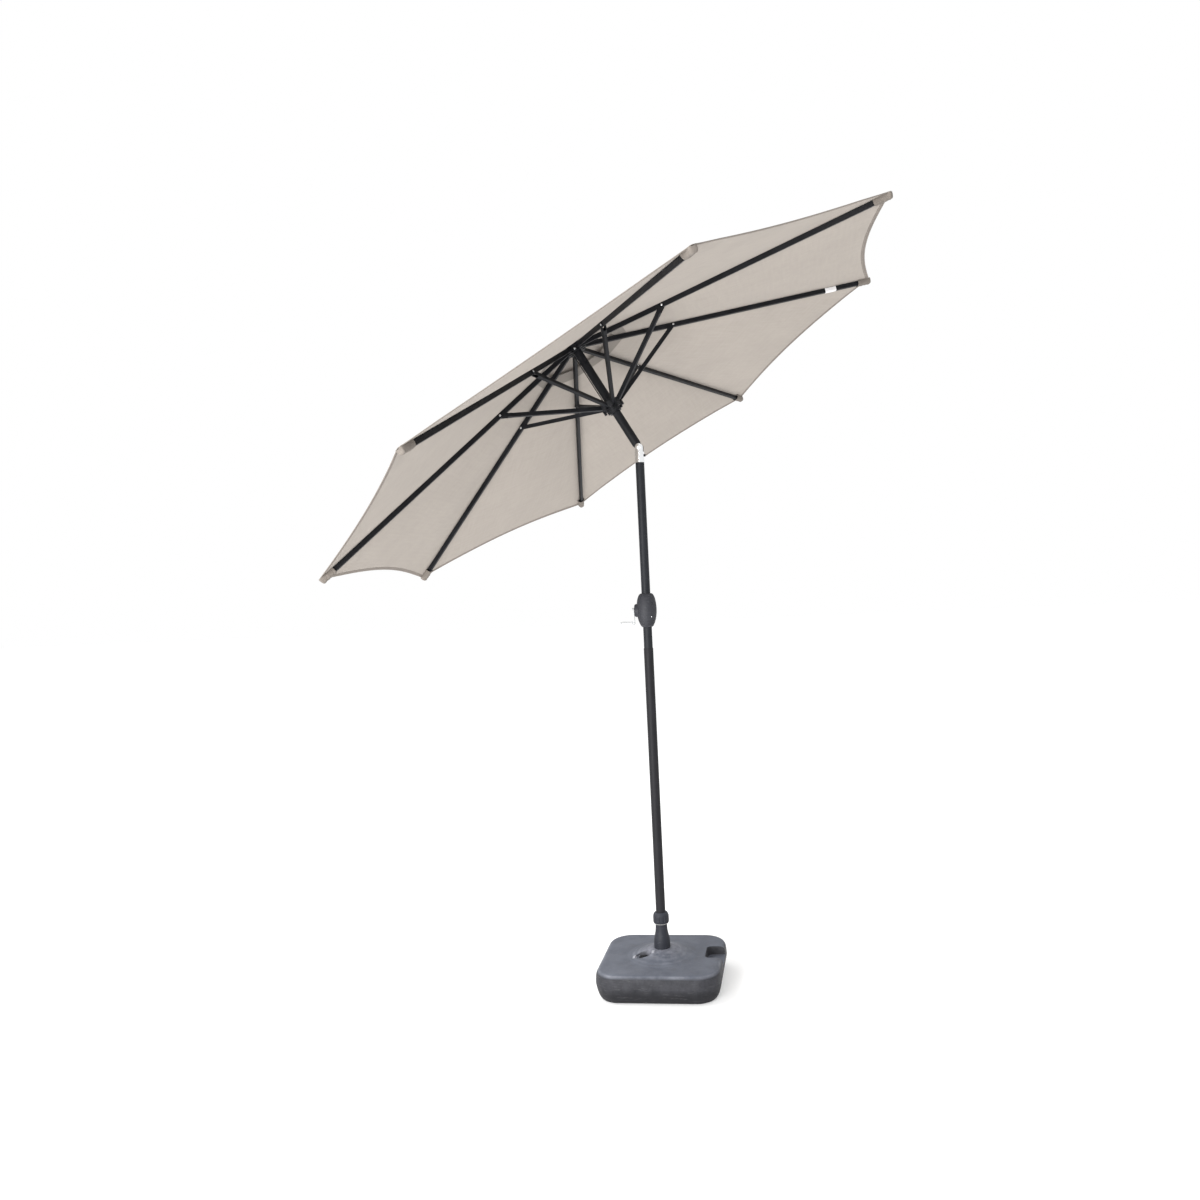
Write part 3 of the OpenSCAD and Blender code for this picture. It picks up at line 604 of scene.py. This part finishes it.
def main_cloth(i, s, a):
    """World points of cloth i: s from 0 at the vent to 1 at the hem, a the bearing from its rib.

    Height = apex - slope * r - sag * sin(pi s) * bow, plus waves of the place itself."""
    s, a = np.broadcast_arrays(s, a)
    r = VENT_R + (hem_r(a) - VENT_R) * s
    x, y = straight(r, a) * np.cos(a), straight(r, a) * np.sin(a)
    z = APEX - r * SLOPE - SAG * np.sin(math.pi * s) * bow(a)
    z = z + creases(i, x, y) * (1 - np.abs(a) / HALF)
    at = place(i, np.stack([x, y, z], -1))
    wave = np.sin(6.3 * at[..., 0] + 0.8) * np.sin(7.1 * at[..., 1] + 2.0)
    wave = wave + np.sin(11 * at[..., 1] - 4 * at[..., 0])
    return at + (0.0016 * wave * bow(a) * np.sin(math.pi * s))[..., None] * UP


def panel_uv(r, a):
    """Metres across and along a panel from its middle line, laid flat."""
    far = straight(r, a)
    return np.stack([far * np.sin(HALF - np.abs(a)), far * np.cos(HALF - np.abs(a)) / math.cos(LEAN)], -1)


print("cloth apex", round(APEX * 1000, 1), "mm over the hub's hinges")

# %% Sew the eight cloths
ACROSS = HALF * np.sign(np.linspace(-1, 1, 65)) * np.abs(np.linspace(-1, 1, 65)) ** 1.15
DOWN = np.linspace(0, 1, 81)


def sew_cloth(i):
    """Cloth i as a thin sheet with its weave map."""
    s, a = DOWN[:, None], ACROSS[None, :]
    r = VENT_R + (hem_r(a) - VENT_R) * s
    return skin(f"canopy_cloth_{i}", main_cloth(i, s, a), CLOTH, panel_uv(r, a), thick=0.0008)


cloths = {i: sew_cloth(i) for i in RIBS}
print(len(cloths), "cloths of", len(cloths[1].data.polygons), "faces")

# %% [markdown]
# ### Vent cap
# A small second canopy over the vent lets wind through. It leaves the finial as a shallow cone and
# ends just above the main cloth, three fingers outside the vent.

# %% Vent cap
CAP_R, CAP_RISE, CAP_TOP, CAP_FROM = 0.225, 0.014, 0.0508, 0.008


def cap_cloth(i, s, a):
    """World points of vent cap i: a cone from its top to its edge, sunk a little between ribs."""
    s, a = np.broadcast_arrays(s, a)
    edge = APEX - CAP_R * SLOPE + CAP_RISE
    r = CAP_FROM + (CAP_R * (1 - SCALLOP * bow(a) / 2) - CAP_FROM) * s
    far = straight(r, a)
    z = CAP_TOP + (edge - CAP_TOP) * r / CAP_R - 0.004 * np.sin(math.pi * s) * bow(a)
    return place(i, np.stack([far * np.cos(a), far * np.sin(a), z], -1))


def sew_cap(i):
    """Vent cap i as a thin sheet."""
    s, a = np.linspace(0, 1, 31)[:, None], np.linspace(-HALF, HALF, 33)[None, :]
    r = CAP_FROM + (CAP_R - CAP_FROM) * s
    return skin(f"vent_cap_{i}", cap_cloth(i, s, a), LIT_CAP_CLOTH, panel_uv(r, a), thick=0.0008)


vent_caps = {i: sew_cap(i) for i in RIBS}
print(len(vent_caps), "vent cap pieces")

# %% [markdown]
# ### Hems and seams
# A hem is the cloth's edge folded over a tape and sewn twice, so it is thicker and darker than the
# sheet. A felled seam runs down every rib on the top side. Both are flat closed bands: one rounded
# section swept along the cloth. The stitches are part of the finish, as dashes on the band's map.

# %% Thread on a band
def sewn_band(name, light, dark, rows):
    """Woven tape with a dashed thread along V at each distance U in rows, pulled down into the cloth."""
    mat = woven(name, light, dark, pitch=0.0018, dirt=0.5)
    f = Finish.__new__(Finish)
    f.mat, f.tree = mat, mat.node_tree
    f.shader = f.tree.nodes["Principled BSDF"]
    f.coords = next(n for n in f.tree.nodes if n.bl_idname == "ShaderNodeTexCoord")
    part = f.node("SeparateXYZ", {0: f.coords.outputs["UV"]})
    dash = f.sums("LESS_THAN", f.sums("PINGPONG", part.outputs[1], 0.0021), 0.0014)
    lines = 0.0
    for at in rows:
        off = f.sums("ABSOLUTE", f.sums("SUBTRACT", part.outputs[0], at), 0)
        lines = f.sums("ADD", f.ramp(off, 0.0003, 0.0007, 1.0, 0.0), lines)
    thread = f.sums("MULTIPLY", lines, dash)
    old = f.shader.inputs["Base Color"].links[0].from_socket
    f.put(f.shader.inputs["Base Color"], f.mix(thread, old, rgb(178, 169, 160)))
    weave_bump = f.shader.inputs["Normal"].links[0].from_socket
    f.put(f.shader.inputs["Normal"], f.bump(f.sums("SUBTRACT", thread, lines), 0.0006, 0.5, weave_bump))
    return mat


HEM_BAND = sewn_band("hem_band", rgb(132, 124, 117), rgb(112, 105, 99), (0.003, 0.012))
SEAM_BAND = sewn_band("seam_band", rgb(160, 151, 143), rgb(142, 134, 126), (0.003, 0.011))

# %% Sweep a flat band
TURN = np.linspace(0, 2 * math.pi, 16, endpoint=False)


def band(name, middle, across, up, width, thick, finish):
    """A closed flat band along middle: an oval of the fourth power, width across and thick up."""
    ca, sa = np.cos(TURN), np.sin(TURN)
    flat = np.sign(ca) * np.sqrt(np.abs(ca)) * width / 2
    high = np.sign(sa) * np.sqrt(np.abs(sa)) * thick / 2
    grid = middle[:, None] + flat[:, None] * across[:, None] + high[:, None] * up[:, None]
    step = np.linalg.norm(np.diff(middle, axis=0), axis=1)
    along = np.concatenate([[0], np.cumsum(step)])
    u = np.append(flat, flat[0]) + width / 2
    uv = np.stack(np.broadcast_arrays(u[None, :], along[:, None]), -1)
    return skin(name, grid, finish, uv, around=True, caps=True)


def hem(name, cloth, i, width):
    """The hem of a cloth: it lies on the cloth's edge, and points inwards along the cloth."""
    a = np.linspace(-HALF, HALF, 97)
    rim, inner = cloth(i, 1.0, a), cloth(i, 0.985, a)
    inwards = (inner - rim) / np.linalg.norm(inner - rim, axis=1)[:, None]
    along = np.gradient(rim, axis=0)
    up = np.cross(inwards, along)
    up /= np.linalg.norm(up, axis=1)[:, None]
    up *= np.sign(up @ UP)[:, None]
    return band(name, rim + inwards * (width / 2 - 0.0008), inwards, up, width, 0.0027, HEM_BAND)


def seam(i):
    """The felled seam on the top side, straight down the rib from the vent to the hem."""
    s = np.linspace(0.0, 0.993, 60)
    line = main_cloth(i, s, 0.0)
    side = np.broadcast_to(bearing(i)[:, 1], line.shape)
    up = np.broadcast_to(beside_rib(i, 0, 0, 1) - beside_rib(i, 0, 0, 0), line.shape)
    return band(f"seam_{i}", line + up * 0.0007, side, up, 0.014, 0.002, SEAM_BAND)


hems = {i: hem(f"hem_{i}", main_cloth, i, 0.016) for i in RIBS}
cap_hems = {i: hem(f"cap_hem_{i}", cap_cloth, i, 0.012) for i in RIBS}
seams = {i: seam(i) for i in RIBS}
print(len(hems) + len(cap_hems) + len(seams), "hems and seams")

# %% [markdown]
# ### Tip pockets
# The cloth hangs on the ribs by eight pockets of heavier cloth, sewn under its corners. Each is a
# small sleeve, wide at its mouth and closed round the rib's end, with a few slack folds.

# %% Tip pockets
def pocket(i):
    """A U-shaped sleeve: its edges lie on the cloth and its bottom passes just under the rib.

    Across it, side = w |cos|^.5 and depth = d |sin|^.5; both shrink as a quarter circle at the tip."""
    t = np.linspace(0, 1, 45)[:, None]
    q = np.linspace(0, math.pi, 37)[None, :]
    along = RIB_LEN - 0.060 + 0.0645 * t
    close = np.sqrt(np.clip(1 - np.clip((t - 0.9) / 0.1, 0, 1) ** 2, 0.02, 1))
    wide = (0.0172 - 0.0036 * t ** 0.8) * (0.45 + 0.55 * close)
    ca, sa = np.cos(q), np.sin(q)
    side = wide * (1 - 0.3 * np.abs(sa)) * np.sign(ca) * np.sqrt(np.abs(ca))
    top = 0.0112 - 0.115 * np.abs(side)
    slack = 0.0007 * np.sin(along * 390 + 1.9 * i + 2.2 * ca) + 0.0005 * np.sin(along * 170 - 3 * ca * ca + i)
    deep = (0.0226 + slack * np.sin(math.pi * t) ** 0.5) * close
    up = top - deep * np.sqrt(np.abs(sa))
    side = side + 0.0006 * np.sin(along * 260 + 2 * i) * ca * np.sin(q)
    uv = np.stack(np.broadcast_arrays(0.017 * q, along), -1)
    return skin(f"pocket_{i}", beside_rib(i, along, side, up), POCKET_CLOTH, uv, thick=0.0011)


pockets = {i: pocket(i) for i in RIBS}
print(len(pockets), "tip pockets")

# %% [markdown]
# ### Blank label
# A plain white tab is wrapped round one rib, a hand's width from its tip. It carries nothing.

# %% Blank label
def wrapped_label(i, start, length):
    """A thin band wrapped round a rib: a rounded rectangle swept along it, a little skewed."""
    t = np.linspace(0, 1, 13)[:, None]
    q = np.linspace(0, 2 * math.pi, 48, endpoint=False)[None, :]
    ca, sa = np.cos(q), np.sin(q)
    side = np.sign(ca) * np.abs(ca) ** 0.35 * 0.0067
    up = np.sign(sa) * np.abs(sa) ** 0.35 * 0.0096
    low = np.clip(-sa, 0, 1) ** 4
    up = up - low * (0.0006 + 0.0009 * np.sin(2.5 * t + 0.4) ** 2)
    along = start + length * t + 0.0012 * sa
    return skin("blank_label", beside_rib(i, along, side, up), LABEL, around=True, thick=0.0004)


label = wrapped_label(1, 1.093, 0.052)
print("label is on rib 1")

# %% [markdown]
# ## Small metal fittings
# Zinc rivets close the strut pins, and one screw locks the hub on the pole. A dome is a half round
# profile turned about its own axis.

# %% Rivets
def dome(name, at, axis, radius, height, finish):
    """A round head: rows from its foot to its crown, a quarter ellipse, with a small crown face."""
    axis = unit(axis)
    one = unit(np.cross(axis, (0.3, 0.9, 0.2)))
    two = np.cross(axis, one)
    q = np.linspace(0, 2 * math.pi, 28, endpoint=False)[None, :, None]
    t = np.concatenate([[-0.3], np.linspace(0, 0.98, 8)]) * math.pi / 2
    wide = radius * np.where(t < 0, 1, np.cos(t))[:, None, None]
    high = height * np.where(t < 0, -0.4, np.sin(t))[:, None, None]
    grid = np.asarray(at) + wide * (np.cos(q) * one + np.sin(q) * two) + high * axis
    return skin(name, grid, finish, around=True, caps=True)


JOINT_AT, HEAD_OUT = 0.390, 0.0103
rivets = {}
for i in RIBS:
    across = bearing(i)[:, 1]
    for word, sign in (("left", 1), ("right", -1)):
        at = beside_rib(i, JOINT_AT, sign * HEAD_OUT, 0.0)
        rivets[i, word] = dome(f"rivet_{word}_{i}", at, sign * across, 0.0046, 0.0018, STEEL)
middle_out = -unit(JOINTS["tilt"]["axis"])
hub_screw = dome("hub_screw", HUB + 0.0418 * middle_out - 0.009 * UP, middle_out, 0.0045, 0.0022, STEEL)
print(len(rivets), "rivets and a hub screw")

# %% [markdown]
# ## The tank
# A blow-moulded tank has no sharp edge anywhere. Its skin is one polar grid round the pole: it
# starts under the tank, climbs the side to the parting line and over the shoulder, crosses the top
# and the crown, and goes down the well to the pole's foot. The grip and the filler pocket are
# pressed into it where a soft mask says so.

# %% Tank shape
BASE_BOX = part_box("base_tank")
HALF_W, HALF_D, CORNER = 0.245, 0.230, 0.095
TOP_Z, CROWN, BELL_R, CROWN_R, WELL_R = 0.110, 0.029, 0.032, 0.150, 0.0272


def outline(theta, inset):
    """Distance from the pole to a rounded rectangle drawn in by inset, in the direction theta."""
    c, s = np.abs(np.cos(theta)), np.abs(np.sin(theta))
    w, d, r = HALF_W - inset, HALF_D - inset, CORNER - inset
    x, y = w - r, d - r
    to_side = w / np.maximum(c, 1e-9)
    to_end = d / np.maximum(s, 1e-9)
    dot = c * x + s * y
    to_corner = dot + np.sqrt(np.maximum(r * r - x * x - y * y + dot * dot, 0))
    return np.where(to_side * s <= y, to_side, np.where(to_end * c <= x, to_end, to_corner))


def soft(t):
    """0 below 0, 1 above 1, smooth between."""
    t = np.clip(t, 0, 1)
    return t * t * (3 - 2 * t)


def inside_box(x, y, low, high, radius):
    """Signed distance into a rounded rectangle, positive inside."""
    mid_x, mid_y = (low[0] + high[0]) / 2, (low[1] + high[1]) / 2
    dx = np.abs(x - mid_x) - (high[0] - low[0]) / 2 + radius
    dy = np.abs(y - mid_y) - (high[1] - low[1]) / 2 + radius
    out = np.hypot(np.maximum(dx, 0), np.maximum(dy, 0)) + np.minimum(np.maximum(dx, dy), 0)
    return radius - out


def press(x, y, z):
    """Presses the grip, its drain hole and the filler pocket into the top."""
    grip = soft(inside_box(x, y, (0.170, -0.0345), (0.325, 0.0885), 0.022) / 0.008)
    z = z - grip * np.maximum(z - 0.0762, 0)
    z = z - 0.004 * grip * soft((0.013 - np.hypot(x - 0.211, y)) / 0.003) * soft((z - 0.072) / 0.002)
    filler = soft(inside_box(x, y, (-0.105, -0.068), (-0.035, -0.022), 0.0228) / 0.003)
    return z - filler * np.maximum(z - 0.1118, 0)


print("tank box", BASE_BOX)

# %% Tank skin
SIDE = np.array([(50, 0), (31, 0), (25, 0.6), (21, 3), (15, 11), (10, 21), (5.4, 36), (2.2, 50), (0.6, 57.5),
                 (0.2, 59), (-0.6, 60), (0.2, 61), (0.5, 66), (1.3, 78), (2.7, 91), (5.2, 99), (9.2, 104.5),
                 (14.5, 108), (21, 109.6), (29, 110), (36, 110)]) / 1000


def smooth_line(points, count):
    """A polyline resampled at count even steps along it, then softened twice by its neighbours."""
    step = np.concatenate([[0], np.cumsum(np.hypot(*np.diff(points, axis=0).T))])
    at = np.linspace(0, step[-1], count)
    line = np.stack([np.interp(at, step, points[:, 0]), np.interp(at, step, points[:, 1])], 1)
    line[1:-1] = line[:-2] / 4 + line[1:-1] / 2 + line[2:] / 4
    return line


def tank_skin():
    """Rows go round the pole; columns crowd where the grip is, because its walls are steep."""
    fine = np.linspace(0, 2 * math.pi, 4001)
    crowd = 1 + 2.2 * soft(1.6 - np.abs(np.angle(np.exp(1j * (fine - 0.14)))) / 0.33)
    share = np.concatenate([[0], np.cumsum((crowd[1:] + crowd[:-1]) / 2)])
    theta = np.interp(np.linspace(0, share[-1], 531)[:-1], share, fine)[None, :]
    side = smooth_line(SIDE, 58)
    side_r = outline(theta, side[:, :1])
    side_z = np.broadcast_to(side[:, 1:], side_r.shape)
    q = np.linspace(0, 1, 110)[1:, None]
    top_r = (1 - q) * outline(theta, 0.036) + q * BELL_R
    slope = np.clip((top_r - BELL_R) / (CROWN_R - BELL_R), 0, 1)
    top_z = TOP_Z + CROWN * (1 + np.cos(math.pi * slope)) / 2
    rings = np.sin(2 * math.pi * top_r / 0.021) * soft((top_r - 0.05) / 0.02) * soft((0.15 - top_r) / 0.02)
    top_z = top_z + 0.0004 * rings
    well_r = np.array([0.0300, 0.0283, WELL_R, WELL_R])[:, None] + 0 * theta
    well_z = np.array([0.1388, 0.1386, 0.1375, 0.0118])[:, None] + 0 * theta
    r, z = np.concatenate([side_r, top_r, well_r]), np.concatenate([side_z, top_z, well_z])
    x, y = r * np.cos(theta), r * np.sin(theta)
    z = np.where(r > BELL_R + 1e-4, press(x, y, z), z)
    return skin("tank_body", np.stack([x, y, z], -1), TANK, around=True, caps=True)


tank = tank_skin()
print("tank has", len(tank.data.polygons), "faces")

# %% [markdown]
# ## Lift cord
# The free run of the braided cord between the pulley and the runner.

# %% Lift cord
CORD_BOX = vertices("lift_cord_fall")
LEVEL = CORD_BOX @ UP
ENDS = [CORD_BOX[LEVEL < LEVEL.min() + 1e-4].mean(axis=0), CORD_BOX[LEVEL > LEVEL.max() - 1e-4].mean(axis=0)]


def cord_tube(name, foot, head, radius):
    """A straight tube of the cord's section, twelve points round and one ring each 4 mm."""
    one = unit(JOINTS["tilt"]["axis"])
    two = np.cross(UP, one)
    length = float(np.linalg.norm(head - foot))
    t = np.linspace(0, 1, int(length / 0.004) + 2)[:, None, None]
    q = np.linspace(0, 2 * math.pi, 12, endpoint=False)[None, :, None]
    grid = foot + t * (head - foot) + radius * (np.cos(q) * one + np.sin(q) * two)
    around = np.linspace(0, 2 * math.pi * radius, 13)
    uv = np.stack(np.broadcast_arrays(around[None, :], t[:, :, 0] * length), -1)
    return skin(name, grid, CORD, uv, around=True, caps=True)


cord = cord_tube("lift_cord_run", ENDS[0], ENDS[1], 0.002)
print("cord run", round(float(np.linalg.norm(ENDS[1] - ENDS[0])), 3), "m")

# %% [markdown]
# ## Join everything to the skeleton
# Cloth, hems, seams, pockets, rivets, label, hub screw and tank ride the CAD body that carries them.
# The vent cap is clamped by the finial; its pieces, their hems and the cord run are baked in place.
# The ribs close on each other as the runner comes down. The CAD solids that the new pieces stand for
# are hidden.


def area_of(obj):
    """A sheet's area on one side, from its grid of faces."""
    faces = np.empty(len(obj.data.polygons))
    obj.data.polygons.foreach_get("area", faces)
    return float(faces.sum())


def carry(obj, i):
    """A soft piece rides its rib, with a mesh of its own."""
    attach(obj, f"rib_{i}")
    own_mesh(obj)


def clamp(obj):
    """A piece of the vent cap stays where it is built: its placement is baked into its mesh."""
    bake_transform(obj)


for i in RIBS:
    for piece in (cloths[i], hems[i], seams[i], pockets[i]):
        carry(piece, i)
    clamp(vent_caps[i])
    clamp(cap_hems[i])
    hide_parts(f"canopy_gore_{i}")
    area_of(cloths[i])
    area_of(vent_caps[i])
    for word in ("left", "right"):
        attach(rivets[i, word], f"strut_{i}")
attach(label, "rib_1")
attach(hub_screw, "top")
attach(tank, "base")
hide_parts("base_tank")
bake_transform(cord)
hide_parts("lift_cord_fall")
print("one cloth is", round(area_of(cloths[1]), 3), "m2, one cap piece", round(area_of(vent_caps[1]), 4))
